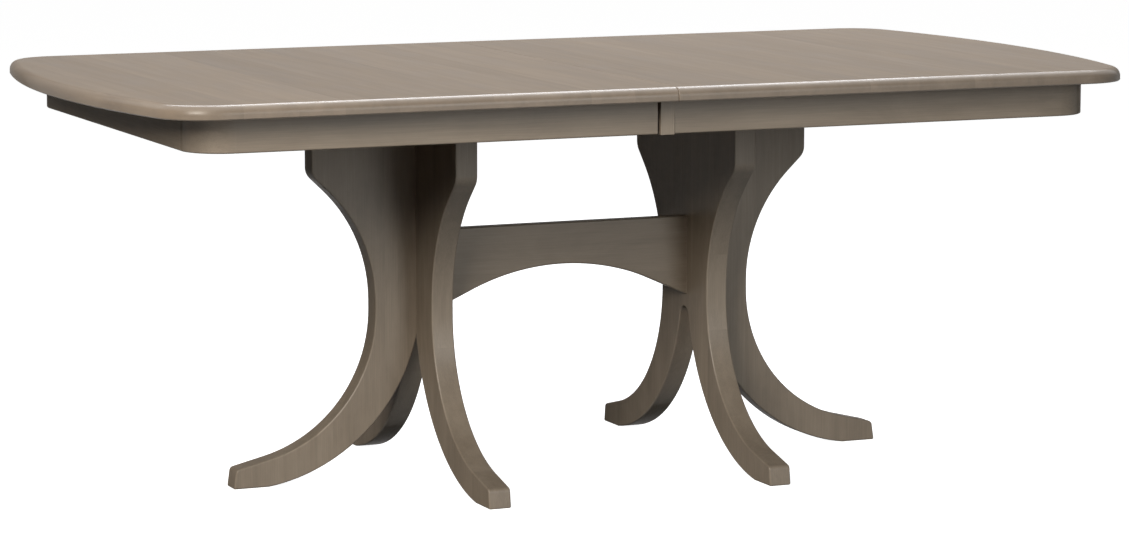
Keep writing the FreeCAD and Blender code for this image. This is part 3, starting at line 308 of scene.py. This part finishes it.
def wood(name, palette, axis, across=None, joints=(), tones=(), wear_and_highlight=0.5, roughness=0.37, shine=0.42,
         fade=0.60, relief=0.07, fibre=0.6, burnish=0.0):
    """Close-grained hardwood in a thin satin finish, with the grain along axis. The palette holds its
    mean, dark and light colours, and joints are where the boards across it meet. The shine is gone
    where the surface turns away by the share fade. End grain is darker, partly because it takes more
    stain and partly as painted shade. Rounded edges are lighter, partly worn and partly a painted
    highlight. The upper round of the long sides is burnished to that much more shine."""
    mean, dark, light = (rgba(colour) for colour in palette)
    material = bpy.data.materials.new(name)
    material.use_nodes = True
    tree = material.node_tree
    tree.nodes.clear()
    place, parts, turned = grain_along(tree, axis)
    grain = add(tree, "ShaderNodeGroup", {"Vector": turned}, node_tree=grain_group)
    clouded = colour_mix(tree, grain.outputs["Cloud"], dark, light)
    colour = colour_mix(tree, CLOUD_SHARE, mean, clouded)
    for layer, share in (("Figure", FIGURE_SHARE), ("Streak", STREAK_SHARE), ("Fibre", fibre)):
        low_tone, high_tone = LAYER_TONES[layer]
        layer_tone = colour_mix(tree, grain.outputs[layer], grey(low_tone), grey(high_tone))
        colour = colour_mix(tree, share, colour, layer_tone, "MULTIPLY")
    if joints:
        board = board_tone(tree, parts[across], joints, tones)
        tree.links.new(board, grain.inputs["Board"])
        lift = ramped(tree, board, *TONE_RANGE, *BOARD_LIFT)
        lift_colour = add(tree, "ShaderNodeCombineColor", {0: lift, 1: lift, 2: lift}).outputs[0]
        colour = colour_mix(tree, 1.0, colour, lift_colour, "MULTIPLY")
    normal = add(tree, "ShaderNodeTexCoord").outputs["Normal"]
    turned_to = add(tree, "ShaderNodeSeparateXYZ", {0: normal}).outputs
    # Painted shade and stain: faces across the grain are darker, since end grain takes more stain and
    # to paint shade onto the top's edge bands.
    end_grain_and_shade = ramped(tree, math_of(tree, "ABSOLUTE", turned_to[axis]), *END_GRAIN_AND_SHADE_TURN)
    colour = colour_mix(tree, end_grain_and_shade, colour, rgba(END_GRAIN_STAIN_AND_SHADE), "MULTIPLY")
    # Lighter along rounded edges: partly wear, partly a painted highlight.
    worn_and_highlit = add(tree, "ShaderNodeGroup", {"Vector": place, "Radius": WOOD_RUB_AND_HIGHLIGHT_RADIUS},
               node_tree=edge_wear_and_highlight_group)
    colour = colour_mix(tree, math_of(tree, "MULTIPLY", worn_and_highlit.outputs["Mask"], wear_and_highlight), colour, light)
    gloss = ramped(tree, grain.outputs["Cloud"], 0.0, 1.0, roughness - SMOOTHER, roughness + ROUGHER)
    bump = add(tree, "ShaderNodeBump", {
        "Strength": relief, "Distance": PORE_DEPTH, "Height": grain.outputs["Height"]}).outputs[0]
    facing = add(tree, "ShaderNodeLayerWeight", {"Blend": 0.5}).outputs["Facing"]
    level = ramped(tree, facing, 0.0, fade, shine, SHINE_EDGE_ON)
    if burnish:
        upward = ramped(tree, turned_to["Z"], *ROUND_FACES_UP)
        outward = ramped(tree, math_of(tree, "ABSOLUTE", turned_to["Y"]), *ROUND_FACES_OUT)
        towards = ramped(tree, facing, *ROUND_TURNS_AWAY, 1.0, 0.0)
        on_round = math_of(tree, "MULTIPLY", math_of(tree, "MULTIPLY", upward, outward), towards)
        level = math_of(tree, "ADD", level, math_of(tree, "MULTIPLY", on_round, burnish))
    surface = add(tree, "ShaderNodeBsdfPrincipled", {
        "Base Color": colour, "Roughness": gloss, "Normal": bump, "IOR": 1.45,
        "Specular IOR Level": level})
    add(tree, "ShaderNodeOutputMaterial", {"Surface": surface.outputs[0]})
    return material


# Edges. A piece keeps its CAD shape and gets small rounds along its sharp edges.
SAME_POINT = 1e-6
FLAT = math.radians(0.4)
SHARP = math.radians(30)
home = {node: body for body, members in frame["record"]["behaviour"]["bodies"].items()
        for node in members}
finish_of = {part["node"]: part["material_slot"] for part in frame["record"]["subparts"]}


def cad_shape(name):
    """A copy of a CAD piece's mesh, welded."""
    shape = bmesh.new()
    shape.from_mesh(frame["nodes"][name].data)
    bmesh.ops.remove_doubles(shape, verts=shape.verts, dist=SAME_POINT)
    return shape


def finished(name, shape):
    """The built shape as the stand-in for a CAD node, smooth but for its sharp edges."""
    for face in shape.faces:
        face.smooth = True
    for edge in shape.edges:
        edge.smooth = len(edge.link_faces) == 2 and edge.calc_face_angle() < SHARP
    mesh = bpy.data.meshes.new(name + "_finished")
    shape.to_mesh(mesh)
    shape.free()
    piece = bpy.data.objects.new(name + "_finished", mesh)
    scene.collection.objects.link(piece)
    weighted = piece.modifiers.new("flat_faces_stay_flat", "WEIGHTED_NORMAL")
    weighted.keep_sharp = True
    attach(piece, home[name])
    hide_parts(name)
    return piece


def eased(name, width, wanted=lambda point: True, segments=3, shortest=0.0):
    """A copy of a CAD piece with its flat facets joined and its wanted sharp edges rounded."""
    shape = cad_shape(name)
    bmesh.ops.dissolve_limit(shape, angle_limit=FLAT, verts=shape.verts, edges=shape.edges)
    chosen = [edge for edge in shape.edges
              if len(edge.link_faces) == 2 and edge.calc_face_angle() > SHARP
              and edge.calc_length() >= shortest
              and wanted((edge.verts[0].co + edge.verts[1].co) / 2)]
    bmesh.ops.bevel(shape, geom=chosen, offset=width, offset_type="OFFSET", segments=segments,
                    profile=0.5, affect="EDGES", clamp_overlap=False)
    return finished(name, shape)


top_stain = wood("top_stain", TOP_STAIN, "Y", "X", BOARD_JOINTS, BOARD_TONES, wear_and_highlight=0.15,
                 roughness=0.32, shine=0.42, fade=0.82, relief=0.01, fibre=0.2, burnish=0.95)
for name in ("left_top_panel", "right_top_panel"):
    low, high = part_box(name)
    seam = min(abs(low.x), abs(high.x))
    slab = eased(name, SEAM_EASE, lambda point: abs(point.x) < seam + SEAM_EASE)
    for corner in slab.data.vertices:
        if abs(corner.co.x) < seam + SAME_PLACE:
            corner.co.x = math.copysign(CLOSED_SEAM, corner.co.x)
    slab.data.materials.append(top_stain)

# Skirts. Straight boards run along the sides and ends of each half and round corner pieces join them,
# stained like the top. Their lower edges are eased.
FRAME_STAIN = ((0.258, 0.210, 0.162), (0.196, 0.158, 0.120), (0.320, 0.268, 0.212))
SKIRT_EASE = 0.0012
EDGE_BAND = 0.004
skirt_stain = wood("skirt_stain", FRAME_STAIN, "X")
skirt_end_stain = wood("skirt_end_stain", FRAME_STAIN, "Y")
for half in ("left", "right"):
    for part in ("near_skirt", "far_skirt", "end_skirt", "skirt_corners"):
        name = half + "_" + part
        low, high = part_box(name)
        board = eased(name, SKIRT_EASE, lambda point: point.z < low.z + EDGE_BAND)
        board.data.materials.append(skirt_end_stain if part == "end_skirt" else skirt_stain)
seam_blocks = eased("right_seam_blocks", SKIRT_EASE)
seam_blocks.data.materials.append(wood("seam_block_stain", FRAME_STAIN, "Z"))

# Pedestals. The cross legs are the near and far legs with the arch between them, glued up from
# upright staves, and the end leg stands against them on dowels. All edges are eased but the hidden
# ones, at the leg tops, at the dowel holes above the arch and where the end leg meets the others.
LEG_EASE = 0.0032
ON_FACE = 0.001
DOWEL_BAND = 0.008
ARCH_TOP = 0.287
STAVE_JOINTS = (-0.300, -0.205, -0.112, -0.030, 0.048, 0.131, 0.222, 0.310)
STAVE_TONES = (0.48, 0.56, 0.42, 0.52, 0.44, 0.58, 0.46, 0.53, 0.41)
END_STAVE_JOINTS = (-0.570, -0.468, -0.366, -0.340, 0.330, 0.378, 0.462, 0.565)
cross_stain = wood("cross_leg_stain", FRAME_STAIN, "Z", "Y", STAVE_JOINTS, STAVE_TONES, wear_and_highlight=0.7)
end_leg_stain = wood("end_leg_stain", FRAME_STAIN, "Z", "X", END_STAVE_JOINTS, STAVE_TONES, wear_and_highlight=0.7)
for half in ("left", "right"):
    low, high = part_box(half + "_cross_legs")
    top = high.z - ON_FACE
    legs = eased(half + "_cross_legs", LEG_EASE, lambda point: (
        point.z < top and not (abs(point.y) < DOWEL_BAND and point.z > ARCH_TOP)))
    legs.data.materials.append(cross_stain)
    outer = max(abs(low.x), abs(high.x)) + ON_FACE
    leg = eased(half + "_end_leg", LEG_EASE, lambda point: point.z < top and abs(point.x) > outer)
    leg.data.materials.append(end_leg_stain)

# Stretcher. One arched board between the pedestals, with its grain along it. Round pockets in its
# far face hold the nuts.
STRETCHER_EASE = 0.0014
STRETCHER_ARCH = 0.078
low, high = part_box("stretcher")
stretcher_end = high.x - ON_FACE
board = eased("stretcher", STRETCHER_EASE, lambda point: (
    abs(point.x) < stretcher_end
    and (point.z > high.z - EDGE_BAND or point.z < low.z + STRETCHER_ARCH)))
board.data.materials.append(wood("stretcher_stain", FRAME_STAIN, "X", wear_and_highlight=0.6))

# Slides, rails and blocks under the top. They are bare sanded hardwood with broken corners. The
# slides and rails run along the table, the bridge and the mounting boards across it.
BARE_WOOD = ((0.50, 0.365, 0.235), (0.41, 0.285, 0.170), (0.58, 0.440, 0.300))
BROKEN_CORNER = 0.0008
LONG_EDGE = 0.015
TURNED = ("leg_dowels", "left_seam_pins")
bare_along = wood("bare_hardwood_along", BARE_WOOD, "X", wear_and_highlight=0.4, roughness=0.55)
bare_across = wood("bare_hardwood_across", BARE_WOOD, "Y", wear_and_highlight=0.4, roughness=0.55)
for name, finish in finish_of.items():
    if finish != "plain_wood" or name in TURNED:
        continue
    runs_across = name == "gear_bridge" or name.endswith("pedestal_board")
    stick = eased(name, BROKEN_CORNER, segments=2, shortest=LONG_EDGE)
    stick.data.materials.append(bare_across if runs_across else bare_along)

# Leg dowels. Bars of bare hardwood, glued across the joint of each end leg with its cross legs. They
# are out of sight, so the CAD's shapes stay and only get the wood.
for slot in frame["nodes"]["leg_dowels"].material_slots:
    slot.material = bare_along

# Seam pins. Turned hardwood with domed tips, in the left half's edge. Profiles here and below are
# pairs of a radius and a height, as shares of the bar's own.
PIN_SIDES = 28
PIN_BUTT = ((0.9, 0.0), (1.0, 0.1))
PIN_TIP_ANGLES = range(0, 85, 12)
PIN_TIP_FLAT = 0.17
X_AXIS, Z_AXIS = 0, 2
LEVEL_DIGITS = 5
SAME_LEVEL = 2e-5


def loose_parts(name):
    """The corners of each separate part of a CAD node, as one list of points for each."""
    shape = cad_shape(name)
    reached = set()
    groups = []
    for first in shape.verts:
        if first in reached:
            continue
        reached.add(first)
        front = [first]
        group = []
        while front:
            corner = front.pop()
            group.append(corner.co.copy())
            for edge in corner.link_edges:
                other = edge.other_vert(corner)
                if other not in reached:
                    reached.add(other)
                    front.append(other)
        groups.append(group)
    shape.free()
    return groups


def bar_sizes(points, axis):
    """A bar's axis point, its levels along the axis, and the half width of its flats at each level."""
    first, second = [index for index in range(3) if index != axis]
    levels = sorted({round(point[axis], LEVEL_DIGITS) for point in points})
    middle = [0.0, 0.0, 0.0]
    for index in (first, second):
        values = [point[index] for point in points]
        middle[index] = (min(values) + max(values)) / 2
    flats = []
    for level in levels:
        ring = [point for point in points if abs(point[axis] - level) < SAME_LEVEL]
        flats.append(min(max(abs(point[first] - middle[first]) for point in ring),
                         max(abs(point[second] - middle[second]) for point in ring)))
    return Vector(middle), levels, flats


def scaled(profile, radius, start, height):
    """A profile in metres, from the level where it starts."""
    return [(radius * share, start + height * rise) for share, rise in profile]


def lathe(shape, middle, axis, rings, sides, capped=True):
    """Rings of (radius, level) about an axis, joined into a closed skin. The last ring is returned."""
    loops = []
    for radius, level in rings:
        loop = []
        for step in range(sides):
            angle = 2 * math.pi * (step + 0.5) / sides
            across = (radius * math.cos(angle), radius * math.sin(angle))
            place = list(middle)
            for index, offset in zip([other for other in range(3) if other != axis], across):
                place[index] += offset
            place[axis] = level
            loop.append(shape.verts.new(place))
        loops.append(loop)
    for lower, upper in zip(loops, loops[1:]):
        for step in range(sides):
            following = (step + 1) % sides
            shape.faces.new((lower[step], lower[following], upper[following], upper[step]))
    shape.faces.new(loops[0])
    if capped:
        shape.faces.new(loops[-1])
    return loops[-1]


pins = bmesh.new()
for points in loose_parts("left_seam_pins"):
    middle, levels, flats = bar_sizes(points, X_AXIS)
    radius = flats[-1]
    dome = [(max(math.cos(angle), PIN_TIP_FLAT), math.sin(angle) - 1)
            for angle in map(math.radians, PIN_TIP_ANGLES)]
    lathe(pins, middle, X_AXIS, scaled(PIN_BUTT, radius, levels[0], radius)
          + scaled(dome, radius, levels[-1], radius), PIN_SIDES)
bmesh.ops.recalc_face_normals(pins, faces=pins.faces)
finished("left_seam_pins", pins).data.materials.append(bare_along)

# Racks, pinion and spacer. Moulded from ivory nylon, faintly mottled, with small rounds on their
# edges. The racks are screwed up into the top halves, and the pinion turns between them.
NYLON = (0.62, 0.575, 0.47)
NYLON_DARK = (0.53, 0.480, 0.38)
# Colour of the nylon's edges, rubbed and with a painted highlight.
NYLON_WORN_AND_HIGHLIT = (0.70, 0.66, 0.56)
NYLON_MOTTLE = 35.0
NYLON_EASE = 0.0003
TOOTH_EDGE = 0.0006
FINER = 14
MOTTLE_RANGE = (0.35, 0.65)
FINE_RANGE = (0.3, 0.7)
SMOOTHER_SPOT, ROUGHER_SPOT = 0.07, 0.08
# Edge mask of the hard surfaces, for rubbing and a painted highlight.
HARD_RUB_AND_HIGHLIGHT_RADIUS = 0.0012
HARD_RUB_AND_HIGHLIGHT_SHARE = 0.6
SPOT_DEPTH = 0.0002


def moulded_or_plated(name, colour, shade, worn_and_highlit_colour, mottle, roughness, metallic, relief):
    """A hard surface, mottled from colour to shade, with brighter edges, partly rubbed and partly a
    painted highlight.
    """
    material = bpy.data.materials.new(name)
    material.use_nodes = True
    tree = material.node_tree
    tree.nodes.clear()
    place = add(tree, "ShaderNodeTexCoord").outputs["Object"]
    mottled = add(tree, "ShaderNodeTexNoise", {
        "Vector": place, "Scale": mottle, "Detail": 5.0, "Roughness": 0.6}).outputs["Fac"]
    fine = add(tree, "ShaderNodeTexNoise", {
        "Vector": place, "Scale": mottle * FINER, "Detail": 3.0, "Roughness": 0.6}).outputs["Fac"]
    mixed = colour_mix(tree, ramped(tree, mottled, *MOTTLE_RANGE), rgba(colour), rgba(shade))
    # Brighter along rounded edges: partly rubbed, partly a painted highlight.
    worn_and_highlit = add(tree, "ShaderNodeGroup", {"Vector": place, "Radius": HARD_RUB_AND_HIGHLIGHT_RADIUS},
               node_tree=edge_wear_and_highlight_group)
    rubbed_and_highlit = math_of(tree, "MULTIPLY", worn_and_highlit.outputs["Mask"], HARD_RUB_AND_HIGHLIGHT_SHARE)
    mixed = colour_mix(tree, rubbed_and_highlit, mixed, rgba(worn_and_highlit_colour))
    rough = ramped(tree, fine, *FINE_RANGE, roughness - SMOOTHER_SPOT, roughness + ROUGHER_SPOT)
    bump = add(tree, "ShaderNodeBump", {
        "Strength": relief, "Distance": SPOT_DEPTH, "Height": fine}).outputs[0]
    surface = add(tree, "ShaderNodeBsdfPrincipled", {
        "Base Color": mixed, "Roughness": rough, "Metallic": metallic, "Normal": bump})
    add(tree, "ShaderNodeOutputMaterial", {"Surface": surface.outputs[0]})
    return material


nylon = moulded_or_plated("moulded_nylon", NYLON, NYLON_DARK, NYLON_WORN_AND_HIGHLIT, NYLON_MOTTLE,
                          roughness=0.48, metallic=0.0, relief=0.1)
for name, finish in finish_of.items():
    if finish == "gear_plastic":
        eased(name, NYLON_EASE, segments=2, shortest=TOOTH_EDGE).data.materials.append(nylon)

# Screws, in yellow zinc plate. They have domed heads with a cross recess, and pointed tips. A head's
# heights go from its collar to its crown, and a tip's are in shank radii.
SCREW_ZINC = (0.50, 0.45, 0.34)
SCREW_ZINC_DARK = (0.38, 0.33, 0.24)
# Colour of the screws' edges, rubbed and with a painted highlight.
SCREW_ZINC_WORN_AND_HIGHLIT = (0.70, 0.66, 0.56)
ZINC_MOTTLE = 60.0
SCREW_SIDES = 24
SCREW_TIP = ((0.15, 0.0), (0.8, 2.0), (1.0, 3.0))
SCREW_HEAD = ((1.0, 0.0), (1.0, 0.35), (0.92, 0.72), (0.74, 1.0))
CROSS_REACH = 0.5
CROSS_HALF_WIDTH = 0.24
CROSS_FLOOR = 0.55
screw_zinc = moulded_or_plated("yellow_zinc_plate", SCREW_ZINC, SCREW_ZINC_DARK, SCREW_ZINC_WORN_AND_HIGHLIT,
                               ZINC_MOTTLE, roughness=0.32, metallic=1.0, relief=0.25)


def cross_recess(shape, ring, middle, level, way, reach):
    """Closes a head's last ring with a face that has a cross sunk into it."""
    half = reach * CROSS_HALF_WIDTH
    outline = ((reach, half), (half, half), (half, reach), (-half, reach), (-half, half),
               (-reach, half), (-reach, -half), (-half, -half), (-half, -reach), (half, -reach),
               (half, -half), (reach, -half))
    rim = [shape.verts.new((middle.x + x, middle.y + y, level)) for x, y in outline]
    sunk = [shape.verts.new((middle.x + x * CROSS_FLOOR, middle.y + y * CROSS_FLOOR,
                             level - way * reach)) for x, y in outline]
    edges = [shape.edges.get((ring[step], ring[(step + 1) % len(ring)])) for step in range(len(ring))]
    for step in range(len(rim)):
        following = (step + 1) % len(rim)
        edges.append(shape.edges.new((rim[step], rim[following])))
        shape.faces.new((rim[step], rim[following], sunk[following], sunk[step]))
    bmesh.ops.triangle_fill(shape, use_beauty=True, edges=edges)
    shape.faces.new(sunk)


for name, finish in finish_of.items():
    if finish != "screw_steel":
        continue
    screws = bmesh.new()
    for points in loose_parts(name):
        middle, levels, flats = bar_sizes(points, Z_AXIS)
        way = 1 if flats[-1] > flats[0] else -1
        if way < 0:
            levels, flats = levels[::-1], flats[::-1]
        tail, collar, crown = levels[0], levels[-2], levels[-1]
        shank, head = flats[0], flats[-1]
        rings = scaled(SCREW_TIP, shank, tail, way * shank) + [(shank, collar)]
        rings += scaled(SCREW_HEAD, head, collar, crown - collar)
        last = lathe(screws, middle, Z_AXIS, rings, SCREW_SIDES, capped=False)
        cross_recess(screws, last, middle, crown, way, head * CROSS_REACH)
    bmesh.ops.recalc_face_normals(screws, faces=screws.faces)
    finished(name, screws).data.materials.append(screw_zinc)

# Leg bolts. Zinc-plated coach bolts with six-sided heads on a round collar, down through the
# mounting boards into the legs.
ZINC = (0.56, 0.56, 0.54)
ZINC_DARK = (0.42, 0.41, 0.38)
# Colour of the zinc's edges, rubbed and with a painted highlight.
ZINC_WORN_AND_HIGHLIT = (0.72, 0.72, 0.70)
BOLT_TIP = ((0.2, 0.0), (1.0, 2.0))
BOLT_COLLAR = ((1.0, 0.0), (1.0, 0.16), (0.96, 0.2))
BOLT_HEAD = ((0.94, 0.2), (0.94, 0.86), (0.80, 1.0))
HEXAGON = 6
zinc = moulded_or_plated("zinc_plate", ZINC, ZINC_DARK, ZINC_WORN_AND_HIGHLIT, ZINC_MOTTLE,
                         roughness=0.34, metallic=1.0, relief=0.25)
bolts = bmesh.new()
for points in loose_parts("leg_bolts"):
    middle, levels, flats = bar_sizes(points, Z_AXIS)
    tail, collar, crown = levels[0], levels[-2], levels[-1]
    shank, head = flats[0], flats[-1]
    height = crown - collar
    for rings, sides in ((scaled(BOLT_TIP, shank, tail, shank) + [(shank, collar)], SCREW_SIDES),
                         (scaled(BOLT_COLLAR, head, collar, height), SCREW_SIDES * 2),
                         (scaled(BOLT_HEAD, head, collar, height), HEXAGON)):
        lathe(bolts, middle, Z_AXIS, rings, sides)
bmesh.ops.recalc_face_normals(bolts, faces=bolts.faces)
finished("leg_bolts", bolts).data.materials.append(zinc)

# Stretcher studs. Zinc-plated steel, threaded all along and set in the cross legs. Their ends show
# with the nuts in the stretcher's pockets.
THREAD_PITCH = 0.00125
THREAD_END = 0.8
THREAD_ROOT = 0.84
studs = bmesh.new()
for points in loose_parts("stretcher_studs"):
    middle, levels, flats = bar_sizes(points, X_AXIS)
    radius = min(flats)
    thread = [(radius * THREAD_END, levels[0])]
    for turn in range(int((levels[-1] - levels[0]) / THREAD_PITCH) - 1):
        start = levels[0] + (turn + 0.5) * THREAD_PITCH
        thread += [(radius * THREAD_ROOT, start), (radius, start + THREAD_PITCH / 2)]
    lathe(studs, middle, X_AXIS, thread + [(radius * THREAD_END, levels[-1])], SCREW_SIDES)
bmesh.ops.recalc_face_normals(studs, faces=studs.faces)
finished("stretcher_studs", studs).data.materials.append(zinc)

# Nuts, axle bolt and locks. Zinc-plated steel, turned, or cut from plate. Their forms are complete
# in the CAD, so they only get small broken edges.
STEEL_EASE = 0.0003
STEEL_EDGE = 0.001
for name in ("stretcher_nuts", "pinion_axle", "axle_nut", "left_lock_keepers", "right_lock_bases",
             "near_lock_lever", "far_lock_lever"):
    eased(name, STEEL_EASE, segments=2, shortest=STEEL_EDGE).data.materials.append(zinc)
